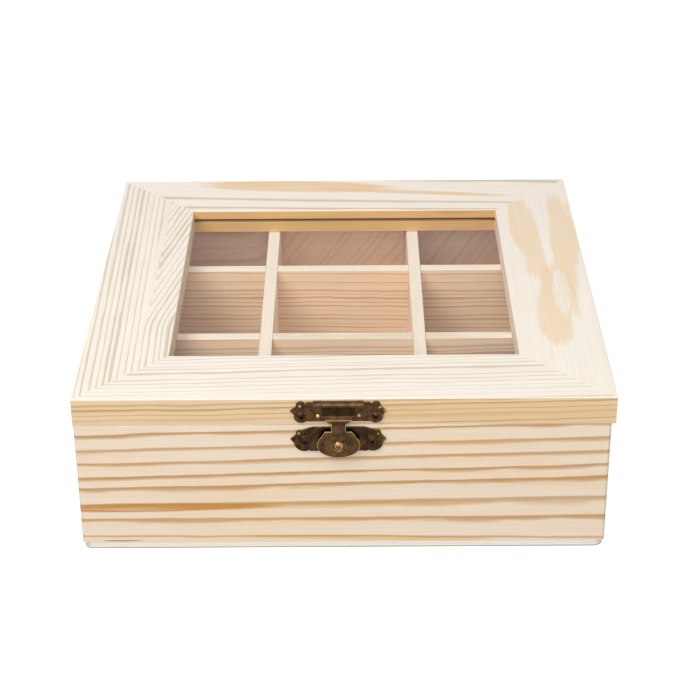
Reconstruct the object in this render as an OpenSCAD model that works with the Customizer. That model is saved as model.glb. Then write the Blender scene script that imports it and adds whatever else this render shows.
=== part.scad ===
// Nine-compartment wooden box with a hinged, glazed lid and a bronze clasp.
// Millimetres. The origin is the centre of the underside: +X is to the right,
// +Y to the back, +Z up, and the clasp is on the -Y side.

/* [Box] */
// Width over the side walls
box_w = 238; // [190:1:320]
// Depth over the front and back walls
box_d = 240; // [190:1:320]
// Height of the rim above the surface the box stands on
rim_h = 65; // [45:1:110]
// Thickness of the four walls
wall_t = 12; // [10:0.5:16]
// Wood left outside each side wall's end, where it meets the front and back
corner_lip = 4; // [3:0.5:6]
// Round-over of the upright corners
corner_round = 1.4; // [0.5:0.1:2.5]
// Thickness of the bottom board
base_t = 3.5; // [3:0.5:6]
// How far the bottom board stops short of the walls' outer faces
base_inset = 0.4; // [0.2:0.1:2]
// Plan radius of the bottom board's corners
base_corner = 4.5; // [1:0.5:10]

/* [Dividers] */
// Thickness of the four divider strips
divider_t = 6; // [4:0.5:9]
// How far the dividers stop below the rim
divider_drop = 0.5; // [0.3:0.1:20]
// Depth of the grooves that hold the dividers' ends
dado = 3; // [1.5:0.5:5]

/* [Lid] */
// Thickness of the lid's frame
lid_t = 13.6; // [11.6:0.2:20]
// Width of the four mitred rails
rail_w = 40; // [26:1:60]
// Overhang past each side wall
lid_over = 1; // [0:0.1:3]
// Overhang past the front wall
lid_front_over = 0; // [0:0.1:1]
// How far the hand-fitted lid sits to the right of the box's middle
lid_shift = 0.8; // [-1.5:0.1:1.5]
// Thickness of the window pane
pane_t = 2; // [1.5:0.1:4]
// Depth of the pane's upper face below the lid's top
pane_drop = 5.8; // [3:0.2:8]
// Depth of the groove that holds the pane's edges
pane_groove = 5; // [3:0.5:10]

/* [Hinges] */
// Length of each hinge along its pin
hinge_len = 24; // [18:1:40]
// Distance from each side wall's outer face in to the hinge's middle
hinge_in = 55; // [25:1:80]
// Height of each leaf above or below the seam
leaf_h = 10.5; // [8:0.5:11]
// Thickness of the leaves
leaf_t = 0.9; // [0.6:0.1:1.2]
// Outer radius of the hinge barrel
barrel_r = 1.7; // [1.5:0.1:2.5]
// Radius of the hinge pin
pin_r = 0.9; // [0.7:0.1:1.1]

/* [Clasp] */
// Middle of the clasp, to the right of the box's middle
clasp_x = -1.7; // [-20:0.1:20]
// Width of both plates, from tip to tip
clasp_w = 42.6; // [38:0.2:56]
// Thickness of the plates and the hasp
plate_t = 0.8; // [0.6:0.1:1.1]
// Distance from the lid's top down to the hasp's pin
hasp_pin_drop = 2; // [1.9:0.1:3]
// Distance from the rim down to the stud
stud_drop = 8.6; // [8:0.1:14]
// Radius of the stud's head
stud_r = 2.32; // [1.8:0.02:3]
// Width of the hasp's shield at its widest
shield_w = 19; // [16:0.5:24]

/* [Fasteners] */
// Radius of the screws' heads
screw_head_r = 2.1; // [1.8:0.1:2.4]
// Radius of the screws' shanks
screw_r = 0.9; // [0.7:0.05:1.1]
// Length of the screws under the head
screw_len = 8; // [6:0.5:9]
// Length of the brads that hold the bottom board
brad_len = 15; // [10:1:25]

/* [Hidden] */
$fn = 64;

// Clearances
slip = 0.1;           // each side of a divider in its groove or half-lap
pane_slack = 0.3;     // from the pane's edge to the bottom of its groove
pane_gap = 0.1;       // above and below the pane in its groove
pilot_gap = 0.04;     // from a screw, brad or nail to the wood round it
plate_hole_gap = 0.15; // from a screw's shank to the metal round it
pin_seat_gap = 0.02;  // from a pin to the knuckles that hold it
pin_run_gap = 0.06;   // from a pin to the knuckle that turns on it
knuckle_gap = 0.2;    // between neighbouring knuckles
through = 1;          // how far a cutter runs past a face

// Box
base_w = box_w - 2 * base_inset;
base_d = box_d - 2 * base_inset;
wall_h = rim_h - base_t;
front_y = -box_d / 2;
back_y = box_d / 2;
inner_w = box_w - 2 * wall_t;
inner_d = box_d - 2 * wall_t;

// Dividers: three equal compartments each way
divider_h = wall_h - divider_drop;
divider_x = (inner_w + divider_t) / 6;
divider_y = (inner_d + divider_t) / 6;
lap_z = base_t + divider_h / 2;
slot_w = divider_t + 2 * slip;
dado_cut = dado + slip;

// Lid
lid_w = box_w + 2 * lid_over;
lid_d = box_d + lid_front_over;
lid_top = rim_h + lid_t;
lid_front_y = front_y - lid_front_over;
lid_y = (back_y + lid_front_y) / 2;
window_w = lid_w - 2 * rail_w;
window_d = lid_d - 2 * rail_w;
pane_top = lid_top - pane_drop;
mitre_nail_leg = 5;
mitre_nail_t = 0.8;
mitre_nail_h = 5;
mitre_nail_sunk = 0.2;

// Hinges: the barrel stands behind the back wall, level with the seam
hinge_x = box_w / 2 - hinge_in;
axis_y = back_y + barrel_r;
knuckle_len = (hinge_len - 2 * knuckle_gap) / 3;
knuckle_notch = barrel_r + 0.3;
leaf_seam_gap = 0.15;
leaf_corner = 1.2;
leaf_screw_in = 4;                 // from a leaf's end to its screw
leaf_screw_x = hinge_len / 2 - leaf_screw_in;
leaf_screw_z = 6;
pin_head_r = pin_r + 0.4;
pin_head_h = 0.4;
pin_head_gap = 0.1;                // from a pin's head to the knuckle

// Clasp. Distances "out" are measured forward from the wood's face.
clasp_tip = clasp_w / 2;
hasp_pin_z = lid_top - hasp_pin_drop;
plate_knuckle_r = 1.6;
hasp_knuckle_r = 1.5;
hasp_pin_out = plate_knuckle_r + 0.1;
hasp_pin_r = 0.6;
hasp_knuckle_w = 14.6;
plate_knuckle_end = 11;
lid_plate_z = lid_top - 5.8;       // height of the lid plate's tips
lid_plate_up = 4.2;                // from the tips to the top edge
lid_plate_down = 5.3;              // from the tips to the bottom edge
lid_screw = [16.4, lid_plate_z - 2.8];
box_plate_z = rim_h - 6.6;         // height of the box plate's tips
box_plate_up = 6.1;
box_plate_down = 6.2;
box_screw = [14.8, box_plate_z - 1.2];
screw_rim_r = 2.9;                 // raised ring under each clasp screw
screw_rim_h = 0.3;
bead_r = 1.1;                      // beads pressed into the lid plate
bead_x = 9;
bead_drop = 2.4;

// Hasp: it steps forward below the pin and hangs in front of the box plate
hasp_back = plate_t + 0.2;
hasp_step = 1.4;
hasp_low_back = hasp_back + hasp_step;
step_top_z = lid_top - 8.2;
step_low_z = step_top_z - 1.6;
step_lift = 0.3;
tongue_w = 11.9;
neck_w = 6.4;
stud_z = rim_h - stud_drop;
shield_up = 7;                     // from the stud to the shield's shoulders
shield_down = 6.2;                 // from the stud to the shield's foot
shield_corner_r = 5.2;             // of its round lower corners
shield_foot_r = 14;                // of the flatter arc between them
hasp_hole_r = stud_r + 0.5;

// Stud: a collar on the plate, a neck in the hasp's hole and a domed head.
// It stands on the box, so it reaches further where the lid overhangs.
stud_collar_r = stud_r + 1;
stud_collar_out = lid_front_over + hasp_low_back - 0.2;
stud_neck_r = stud_r - 0.3;
stud_neck_out = lid_front_over + hasp_low_back + plate_t + 0.2;
stud_head_h = 1.5;
stud_tail_r = 1.2;

// Screws and brads
screw_dome = 0.9;                  // height of the domed head
screw_tip = 2.2;                   // length of the point
cross_w = 0.5;                     // the cross recess
cross_l = 2.4;
cross_deep = 0.5;
brad_r = 0.6;
brad_head_r = 1.2;
brad_head_h = 0.6;
brad_sunk = 0.3;

pine = "BurlyWood";
pale_pine = "Wheat";
divider_pine = "NavajoWhite";
board = "OldLace";
bronze = "DarkOliveGreen";
brass = "Goldenrod";
steel = "Silver";
glass = [0.85, 0.9, 0.9, 0.35];

// ---------------------------------------------------------------- helpers

// Rectangle with round corners, centred, made of exact arcs
module round_rect(w, d, r) {
    square([w - 2 * r, d], center = true);
    square([w, d - 2 * r], center = true);
    for (sx = [-1, 1], sy = [-1, 1])
        translate([sx * (w / 2 - r), sy * (d / 2 - r)]) circle(r);
}

// A flat shape drawn as x and height, stood up so that it runs forward (-Y)
// from the plane y
module upright(y, thick) {
    translate([0, y, 0]) rotate([90, 0, 0]) linear_extrude(thick) children();
}

// A cylinder along X, centred at x
module rod_x(x, y, z, r, len) {
    translate([x - len / 2, y, z]) rotate([0, 90, 0]) cylinder(r = r, h = len);
}

// A child drawn along Z, with the wood below z = 0, stood on an upright face:
// side 1 is a face that looks forward, and side -1 one that looks back
module into_wood(x, y, z, side) {
    translate([x, y, z]) rotate([side * 90, 0, 0]) children();
}

// The screw's domed head ends at the plane z = 0 and its point is at -screw_len
module screw() {
    dome_r = (pow(screw_head_r, 2) + pow(screw_dome, 2)) / (2 * screw_dome);
    difference() {
        union() {
            intersection() {
                translate([0, 0, screw_dome - dome_r]) sphere(dome_r);
                cylinder(r = screw_head_r, h = screw_dome);
            }
            translate([0, 0, screw_tip - screw_len])
                cylinder(r = screw_r, h = screw_len - screw_tip);
            translate([0, 0, -screw_len]) cylinder(r1 = 0.1, r2 = screw_r, h = screw_tip);
        }
        for (turn = [0, 90])
            rotate([0, 0, turn + 20])
                translate([-cross_l / 2, -cross_w / 2, screw_dome - cross_deep])
                    cube([cross_l, cross_w, screw_dome]);
    }
}

// What the screw's shank needs, in wood and in metal
module screw_hole(gap) {
    translate([0, 0, -screw_len - 0.3]) cylinder(r = screw_r + gap, h = screw_len + 2);
}

// A brad driven up from z = 0
module brad() {
    translate([0, 0, brad_sunk]) {
        cylinder(r = brad_head_r, h = brad_head_h);
        cylinder(r = brad_r, h = brad_len - 2);
        translate([0, 0, brad_len - 2]) cylinder(r1 = brad_r, r2 = 0.1, h = 2);
    }
}

module brad_hole() {
    translate([0, 0, -through]) {
        cylinder(r = brad_head_r + pilot_gap, h = through + brad_sunk + brad_head_h);
        cylinder(r = brad_r + pilot_gap, h = through + brad_sunk + brad_len + pilot_gap);
    }
}

// Three brads under each wall
module at_brads() {
    for (k = [-1, 0, 1], side = [-1, 1]) {
        translate([k * box_w / 3, side * (box_d - wall_t) / 2, 0]) children();
        translate([side * (box_w - wall_t) / 2, k * box_d / 4 + 5, 0]) children();
    }
}

// ------------------------------------------------------------------ walls

// The walls' ring in plan, with round corners
module walls_plan() {
    difference() {
        round_rect(box_w, box_d, corner_round);
        square([inner_w, inner_d], center = true);
    }
}

// Plan of the front wall: full width, with a rebate for each side wall's end
module front_plan() {
    intersection() {
        walls_plan();
        union() {
            translate([-box_w / 2, front_y]) square([box_w, corner_lip]);
            translate([-inner_w / 2, front_y]) square([inner_w, wall_t]);
        }
    }
}

// Plan of the right side wall, between the two lips
module side_plan() {
    translate([inner_w / 2, front_y + corner_lip])
        square([wall_t, box_d - 2 * corner_lip]);
}

// Raises the plan given as the first child; the second child, if any, is cut out
module wall() {
    difference() {
        translate([0, 0, base_t]) linear_extrude(wall_h) children(0);
        divider_grooves();
        at_brads() brad_hole();
        if ($children > 1) children(1);
    }
}

// Grooves from the floor to the rim, open at the top
module divider_grooves() {
    for (side = [-1, 1]) {
        translate([side * divider_x - slot_w / 2, -inner_d / 2 - dado_cut, base_t - through])
            cube([slot_w, inner_d + 2 * dado_cut, wall_h + 2 * through]);
        translate([-inner_w / 2 - dado_cut, side * divider_y - slot_w / 2, base_t - through])
            cube([inner_w + 2 * dado_cut, slot_w, wall_h + 2 * through]);
    }
}

module front_panel() {
    color(pine) wall() {
        front_plan();
        clasp_box_screws() screw_hole(pilot_gap);
    }
}

module back_panel() {
    color(pine) wall() {
        mirror([0, 1]) front_plan();
        hinge_box_screws() screw_hole(pilot_gap);
    }
}

module left_side_panel() {
    color(pine) wall() mirror([1, 0]) side_plan();
}

module right_side_panel() {
    color(pine) wall() side_plan();
}

module base_board() {
    color(board) difference() {
        linear_extrude(base_t) round_rect(base_w, base_d, base_corner);
        at_brads() brad_hole();
    }
}

module base_brads() {
    color(steel) at_brads() brad();
}

// --------------------------------------------------------------- dividers

// Front-to-back divider: half-lap slots open at the bottom
module long_divider(side) {
    run = inner_d + 2 * dado;
    color(divider_pine) difference() {
        translate([side * divider_x - divider_t / 2, -run / 2, base_t])
            cube([divider_t, run, divider_h]);
        for (row = [-1, 1])
            translate([side * divider_x - divider_t, row * divider_y - slot_w / 2, base_t - through])
                cube([2 * divider_t, slot_w, lap_z - base_t + through]);
    }
}

// Left-to-right divider: half-lap slots open at the top
module cross_divider(side) {
    run = inner_w + 2 * dado;
    color(divider_pine) difference() {
        translate([-run / 2, side * divider_y - divider_t / 2, base_t])
            cube([run, divider_t, divider_h]);
        for (column = [-1, 1])
            translate([column * divider_x - slot_w / 2, side * divider_y - divider_t, lap_z])
                cube([slot_w, 2 * divider_t, divider_h]);
    }
}

module long_divider_left() long_divider(-1);
module long_divider_right() long_divider(1);
module cross_divider_front() cross_divider(-1);
module cross_divider_back() cross_divider(1);

// -------------------------------------------------------------------- lid

module at_lid() {
    translate([lid_shift, lid_y, 0]) children();
}

// Plan of a rail on the -Y side, mitred at both ends
module rail_plan(w, d) {
    polygon([[-w / 2, -d / 2], [w / 2, -d / 2],
             [w / 2 - rail_w, rail_w - d / 2], [rail_w - w / 2, rail_w - d / 2]]);
}

// One rail: the pane's groove and the mitre nails' slots are cut out of it
module rail(w, d, turn) {
    color(pale_pine) difference() {
        at_lid() difference() {
            translate([0, 0, rim_h]) linear_extrude(lid_t) rotate(turn) rail_plan(w, d);
            translate([-window_w / 2 - pane_groove, -window_d / 2 - pane_groove,
                       pane_top - pane_t - pane_gap])
                cube([window_w + 2 * pane_groove, window_d + 2 * pane_groove,
                      pane_t + 2 * pane_gap]);
            at_mitres() mitre_nail(pilot_gap, through);
        }
        clasp_lid_screws() screw_hole(pilot_gap);
        hinge_lid_screws() screw_hole(pilot_gap);
    }
}

module lid_front_rail() rail(lid_w, lid_d, 0);
module lid_back_rail() rail(lid_w, lid_d, 180);
module lid_left_rail() rail(lid_d, lid_w, -90);
module lid_right_rail() rail(lid_d, lid_w, 90);

module window_pane() {
    pane_w = window_w + 2 * (pane_groove - pane_slack);
    pane_d = window_d + 2 * (pane_groove - pane_slack);
    color(glass) at_lid()
        translate([-pane_w / 2, -pane_d / 2, pane_top - pane_t])
            cube([pane_w, pane_d, pane_t]);
}

// A V-shaped nail across one mitre, driven in from the underside. Its two legs
// follow the two rails.
module mitre_nail(gap, below) {
    leg = mitre_nail_leg + gap;
    half = mitre_nail_t / 2 + gap;
    translate([0, 0, rim_h + mitre_nail_sunk - below])
        linear_extrude(mitre_nail_h + gap + below)
            polygon([[-half, -half], [leg, -half], [leg, half], [half, half],
                     [half, leg], [-half, leg]]);
}

// The middle of each mitre, with +X and +Y towards the window
module at_mitres() {
    for (sx = [0, 1], sy = [0, 1])
        mirror([sx, 0, 0]) mirror([0, sy, 0])
            translate([(rail_w - lid_w) / 2, (rail_w - lid_d) / 2, 0]) children();
}

module mitre_nails() {
    color(steel) at_lid() at_mitres() mitre_nail(0, 0);
}

// ----------------------------------------------------------------- hinges

// The leaf's flat plate, up from the seam (up = 1) or down from it (up = -1),
// with both screw holes
module leaf_plate(up) {
    difference() {
        upright(back_y + leaf_t, leaf_t)
            translate([0, rim_h + up * (leaf_h + leaf_seam_gap) / 2])
                round_rect(hinge_len, leaf_h - leaf_seam_gap, leaf_corner);
        for (side = [-1, 1])
            into_wood(side * leaf_screw_x, back_y + leaf_t, rim_h + up * leaf_screw_z, -1)
                screw_hole(plate_hole_gap);
    }
}

// A knuckle with its root on the leaf, centred at x
module knuckle(x, up, bore) {
    difference() {
        union() {
            rod_x(x, axis_y, rim_h, barrel_r, knuckle_len);
            translate([x - knuckle_len / 2, back_y, up > 0 ? rim_h : rim_h - knuckle_notch])
                cube([knuckle_len, leaf_t, knuckle_notch]);
        }
        rod_x(x, axis_y, rim_h, bore, knuckle_len + 2 * through);
    }
}

// Room for the other leaf's knuckle, centred at x
module knuckle_room(x) {
    rod_x(x, axis_y, rim_h, knuckle_notch, knuckle_len + 2 * knuckle_gap);
}

module hinge_box_leaf(x) {
    color(bronze) {
        difference() {
            translate([x, 0, 0]) leaf_plate(-1);
            knuckle_room(x);
            for (side = [-1, 1])
                rod_x(x + side * (knuckle_len + knuckle_gap), axis_y, rim_h,
                      pin_r + pin_seat_gap, knuckle_len);
        }
        for (side = [-1, 1])
            knuckle(x + side * (knuckle_len + knuckle_gap), -1, pin_r + pin_seat_gap);
    }
}

module hinge_lid_leaf(x) {
    color(bronze) {
        difference() {
            translate([x, 0, 0]) leaf_plate(1);
            for (side = [-1, 1])
                knuckle_room(x + side * (knuckle_len + 2 * knuckle_gap));
            rod_x(x, axis_y, rim_h, pin_r + pin_run_gap, knuckle_len);
        }
        knuckle(x, 1, pin_r + pin_run_gap);
    }
}

module hinge_pin(x) {
    color(bronze) {
        rod_x(x, axis_y, rim_h, pin_r, hinge_len + 2 * pin_head_gap);
        for (side = [-1, 1])
            rod_x(x + side * ((hinge_len + pin_head_h) / 2 + pin_head_gap), axis_y, rim_h,
                  pin_head_r, pin_head_h);
    }
}

module hinge_box_screws() {
    for (hinge = [-1, 1], side = [-1, 1])
        into_wood(hinge * hinge_x + side * leaf_screw_x, back_y + leaf_t,
                  rim_h - leaf_screw_z, -1) children();
}

module hinge_lid_screws() {
    for (hinge = [-1, 1], side = [-1, 1])
        into_wood(hinge * hinge_x + side * leaf_screw_x, back_y + leaf_t,
                  rim_h + leaf_screw_z, -1) children();
}

module hinge_box_leaf_left() hinge_box_leaf(-hinge_x);
module hinge_box_leaf_right() hinge_box_leaf(hinge_x);
module hinge_lid_leaf_left() hinge_lid_leaf(-hinge_x);
module hinge_lid_leaf_right() hinge_lid_leaf(hinge_x);
module hinge_pin_left() hinge_pin(-hinge_x);
module hinge_pin_right() hinge_pin(hinge_x);

module hinge_screws_box() {
    color(bronze) hinge_box_screws() screw();
}

module hinge_screws_lid() {
    color(bronze) hinge_lid_screws() screw();
}

// ------------------------------------------------------------------ clasp

module at_clasp() {
    translate([clasp_x, 0, 0]) children();
}

module both_sides() {
    children();
    mirror([1, 0, 0]) children();
}

module clasp_lid_screws() {
    at_clasp() for (side = [-1, 1])
        into_wood(side * lid_screw[0], lid_front_y - plate_t - screw_rim_h, lid_screw[1], 1)
            children();
}

module clasp_box_screws() {
    at_clasp() for (side = [-1, 1])
        into_wood(side * box_screw[0], front_y - plate_t - screw_rim_h, box_screw[1], 1)
            children();
}

// Outline of the lid plate about the height of its tips: a bar with a bump, a
// point and a round lobe at each end
module lid_plate_outline() {
    translate([0, (lid_plate_up - lid_plate_down) / 2])
        square([2 * (clasp_tip - 7.2), lid_plate_up + lid_plate_down], center = true);
    both_sides() {
        translate([clasp_tip - 4.7, 2.6]) circle(2.1);
        translate([lid_screw[0], lid_screw[1] - lid_plate_z]) circle(3.3);
        polygon([[clasp_tip - 7.6, 3.4], [clasp_tip - 4.7, 3.8], [clasp_tip - 2.7, 2.1],
                 [clasp_tip, 0], [clasp_tip - 1.6, -1.9], [clasp_tip - 7.6, -5]]);
    }
}

// Outline of the box plate about the height of its tips
module box_plate_outline() {
    polygon([[-11.6, box_plate_up], [11.6, box_plate_up],
             [clasp_tip - 4, 4.2], [clasp_tip - 4, -3.4], [12.6, -box_plate_down],
             [-12.6, -box_plate_down], [4 - clasp_tip, -3.4], [4 - clasp_tip, 4.2]]);
    both_sides() {
        translate([clasp_tip - 4.1, 2.9]) circle(1.7);
        translate([box_screw[0] + 0.4, box_screw[1] - box_plate_z - 0.4]) circle(4.6);
        polygon([[clasp_tip - 4.1, 4.6], [clasp_tip - 2.4, 2.5], [clasp_tip, 0],
                 [clasp_tip - 1.9, -2.6], [clasp_tip - 6, -2]]);
    }
}

module raised_rings(screw_at, face_y) {
    for (side = [-1, 1])
        into_wood(side * screw_at[0], face_y - plate_t, screw_at[1], 1)
            cylinder(r = screw_rim_r, h = screw_rim_h);
}

module clasp_lid_plate() {
    knuckle_w = plate_knuckle_end - hasp_knuckle_w / 2 - knuckle_gap;
    knuckle_mid = plate_knuckle_end - knuckle_w / 2;
    pin_y = lid_front_y - hasp_pin_out;
    room_w = hasp_knuckle_w + 2 * knuckle_gap;
    room_z = hasp_pin_z - hasp_knuckle_r - 0.35;
    color(bronze) difference() {
        at_clasp() difference() {
            union() {
                upright(lid_front_y, plate_t) translate([0, lid_plate_z]) lid_plate_outline();
                raised_rings(lid_screw, lid_front_y);
                for (side = [-1, 1]) {
                    rod_x(side * knuckle_mid, pin_y, hasp_pin_z, plate_knuckle_r, knuckle_w);
                    intersection() {
                        translate([side * bead_x, lid_front_y - plate_t + 0.3,
                                   lid_plate_z - bead_drop])
                            sphere(bead_r);
                        translate([side * bead_x - 2, lid_front_y - 4, lid_plate_z - 5])
                            cube([4, 4, 5]);
                    }
                }
            }
            translate([-room_w / 2, lid_front_y - 2 * plate_t, room_z])
                cube([room_w, 3 * plate_t, lid_t]);
            rod_x(0, pin_y, hasp_pin_z, hasp_pin_r + pin_seat_gap, 2 * clasp_tip);
        }
        clasp_lid_screws() screw_hole(plate_hole_gap);
    }
}

module clasp_hasp_pin() {
    color(bronze) at_clasp()
        rod_x(0, lid_front_y - hasp_pin_out, hasp_pin_z, hasp_pin_r, 2 * plate_knuckle_end);
}

module clasp_box_plate() {
    color(bronze) difference() {
        at_clasp() difference() {
            union() {
                upright(front_y, plate_t) translate([0, box_plate_z]) box_plate_outline();
                raised_rings(box_screw, front_y);
            }
            into_wood(0, front_y - plate_t, stud_z, 1)
                cylinder(r = stud_tail_r + pin_seat_gap, h = 4 * plate_t, center = true);
        }
        clasp_box_screws() screw_hole(plate_hole_gap);
    }
}

module clasp_stud() {
    head_r = (pow(stud_r, 2) + pow(stud_head_h, 2)) / (2 * stud_head_h);
    color(brass) at_clasp() translate([0, front_y, stud_z]) rotate([90, 0, 0]) {
        cylinder(r = stud_tail_r, h = plate_t);
        translate([0, 0, plate_t]) cylinder(r = stud_collar_r, h = stud_collar_out - plate_t);
        translate([0, 0, plate_t]) cylinder(r = stud_neck_r, h = stud_neck_out - plate_t);
        intersection() {
            translate([0, 0, stud_neck_out + stud_head_h - head_r]) sphere(head_r);
            translate([0, 0, stud_neck_out]) cylinder(r = stud_r, h = stud_head_h);
        }
    }
}

// The hasp's outline in x and height
module hasp_outline() {
    square_from(-hasp_knuckle_w / 2, hasp_knuckle_w / 2, step_top_z, hasp_pin_z);
    square_from(-tongue_w / 2, tongue_w / 2, step_low_z, step_top_z);
    polygon([[-tongue_w / 2, step_low_z], [tongue_w / 2, step_low_z],
             [neck_w / 2, step_low_z - 1.6], [-neck_w / 2, step_low_z - 1.6]]);
    square_from(-neck_w / 2, neck_w / 2, stud_z, step_low_z);
    shield_outline();
}

module square_from(x0, x1, z0, z1) {
    translate([x0, z0]) square([x1 - x0, z1 - z0]);
}

// The shield: sloping shoulders run into two round corners, and a flatter arc
// joins the corners at the foot. Every join is tangent.
module shield_outline() {
    side_x = shield_w / 2 - shield_corner_r;
    foot_y = shield_foot_r - shield_down;
    corner_y = foot_y - sqrt(pow(shield_foot_r - shield_corner_r, 2) - pow(side_x, 2));
    foot_join = shield_foot_r * side_x / (shield_foot_r - shield_corner_r);
    shoulder = [tongue_w / 2, shield_up];
    reach = shoulder - [side_x, corner_y];
    slope = atan2(reach[1], reach[0]) - acos(shield_corner_r / norm(reach));
    join = [side_x, corner_y] + shield_corner_r * [cos(slope), sin(slope)];
    translate([0, stud_z]) {
        both_sides() translate([side_x, corner_y]) circle(shield_corner_r);
        polygon([[-shoulder[0], shoulder[1]], shoulder, join, [side_x, corner_y],
                 [-side_x, corner_y], [-join[0], join[1]]]);
        intersection() {
            translate([0, foot_y]) circle(shield_foot_r);
            translate([-foot_join, -shield_foot_r])
                square([2 * foot_join, shield_foot_r + corner_y]);
        }
    }
}

// The hasp's thickness seen from the side: distance out and height. It steps
// forward once, below the pin.
module hasp_profile() {
    foot_z = stud_z - 2 * shield_down;
    polygon([[hasp_back, hasp_pin_z], [hasp_back, step_top_z],
             [hasp_low_back, step_low_z], [hasp_low_back, foot_z],
             [hasp_low_back + plate_t, foot_z], [hasp_low_back + plate_t, step_low_z + step_lift],
             [hasp_back + plate_t, step_top_z + step_lift], [hasp_back + plate_t, hasp_pin_z]]);
}

module clasp_hasp() {
    pin_y = lid_front_y - hasp_pin_out;
    color(bronze) at_clasp() difference() {
        union() {
            intersection() {
                upright(lid_front_y, 3 * hasp_low_back) hasp_outline();
                translate([-clasp_w / 2, lid_front_y, 0]) rotate([90, 0, 90])
                    linear_extrude(clasp_w) mirror([1, 0]) hasp_profile();
            }
            rod_x(0, pin_y, hasp_pin_z, hasp_knuckle_r, hasp_knuckle_w);
        }
        rod_x(0, pin_y, hasp_pin_z, hasp_pin_r + pin_run_gap, clasp_w);
        into_wood(0, lid_front_y, stud_z, 1)
            cylinder(r = hasp_hole_r, h = 3 * hasp_low_back);
    }
}

module clasp_screws_lid() {
    color(bronze) clasp_lid_screws() screw();
}

module clasp_screws_box() {
    color(bronze) clasp_box_screws() screw();
}

// ---------------------------------------------------------------- drawing

front_panel();
back_panel();
left_side_panel();
right_side_panel();
base_board();
long_divider_left();
long_divider_right();
cross_divider_front();
cross_divider_back();
base_brads();
lid_front_rail();
lid_back_rail();
lid_left_rail();
lid_right_rail();
window_pane();
mitre_nails();
hinge_box_leaf_left();
hinge_box_leaf_right();
hinge_lid_leaf_left();
hinge_lid_leaf_right();
hinge_pin_left();
hinge_pin_right();
hinge_screws_box();
hinge_screws_lid();
clasp_lid_plate();
clasp_box_plate();
clasp_hasp();
clasp_hasp_pin();
clasp_stud();
clasp_screws_lid();
clasp_screws_box();
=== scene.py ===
# Nine-compartment pine box with a hinged, glazed lid and a bronze clasp.
# The frame's solids give every place and size. Wood and metal pieces are copies of
# them with their arrises rounded, and screws and brads are made by Geometry Nodes.
import math
from dataclasses import dataclass
from functools import partial

import bmesh
import bpy
import numpy as np
from mathutils import Matrix, Vector


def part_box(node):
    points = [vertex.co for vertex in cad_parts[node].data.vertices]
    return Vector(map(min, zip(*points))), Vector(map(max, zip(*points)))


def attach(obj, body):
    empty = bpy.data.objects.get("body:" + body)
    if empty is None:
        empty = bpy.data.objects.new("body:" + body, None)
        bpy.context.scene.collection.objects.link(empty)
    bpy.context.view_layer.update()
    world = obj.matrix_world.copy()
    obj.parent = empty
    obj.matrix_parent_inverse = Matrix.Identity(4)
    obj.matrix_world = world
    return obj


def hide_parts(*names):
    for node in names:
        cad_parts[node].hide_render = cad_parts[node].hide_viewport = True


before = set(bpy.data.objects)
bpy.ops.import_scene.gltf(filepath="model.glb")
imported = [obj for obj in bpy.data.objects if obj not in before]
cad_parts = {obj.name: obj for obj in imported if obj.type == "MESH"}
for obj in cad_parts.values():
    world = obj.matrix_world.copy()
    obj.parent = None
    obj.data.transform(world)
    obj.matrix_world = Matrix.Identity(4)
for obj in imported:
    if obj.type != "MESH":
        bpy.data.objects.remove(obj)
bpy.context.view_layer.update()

MM = 0.001

# Meshes: corners that are one, faces that are one flat face, edges that are arrises, and
# the cosine between faces that are shaded together
SAME_SPOT = 0.002 * MM
FLAT_ANGLE = math.radians(0.4)
ARRIS_ANGLE = math.radians(30)
GENTLE = math.cos(math.radians(50))

# Rounding: how near an outer side is, what is too short or slanted, what edges at joints
# get, how far a hinge's knuckles reach, and the widths on the base and the pane
NEAR_SIDE = 1.5 * MM
SHORT_EDGE = 0.6 * MM
SLANTED = 0.3
JOINT_SHARE = 0.2
KNUCKLE_REACH = 2.0 * MM
BASE_ARRIS = 0.45 * MM
PANE_ARRIS = 0.1 * MM

# Surfaces: how deep a board's top and underside reach, how much of a normal counts as
# facing a way or looking down a little, and the relief and gloss of each
SKIN = 0.8 * MM
FACING = 0.5
DOWNWARD = 0.2
WOOD_RELIEF = 0.06 * MM
PLY_RELIEF = 0.05 * MM
METAL_RELIEF = 0.15 * MM
WOOD_GLOSS = 0.3

# Camera, in metres and degrees
CAMERA_PLACE = (0.0052, -0.8374, 0.4916)
CAMERA_DOWN = 28.46
CAMERA_TURN = 0.127
CAMERA_ROLL = -0.388
CAMERA_LENS = 97.22
SENSOR_WIDTH = 36.0

PANE_TINT = (0.99, 1.0, 0.995, 1.0)
PANE_IOR = 1.49
PANE_SHINE = 0.5

# Surroundings, and lamps by name, place, size in metres and power in watts
WHITE = (1.0, 1.0, 1.0, 1.0)
SKY_LIGHT = 0.38
FLOOR_GAP = 0.05 * MM
FLOOR_RADIUS = 4.0
FLOOR_SIDES = 96
FLOOR_GREY = (0.35, 0.35, 0.35, 1.0)
FLOOR_GLOW = 0.84
LAMPS = (("key", (-0.805, -0.665, 1.4), 0.9, 12.0),
         ("front_fill", (-0.36, -1.22, 1.26), 1.2, 5.6),
         ("low_fill", (-0.1, -1.64, 0.74), 1.1, 8.4),
         ("right_fill", (1.35, -0.81, 0.9), 1.0, 3.0))

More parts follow.
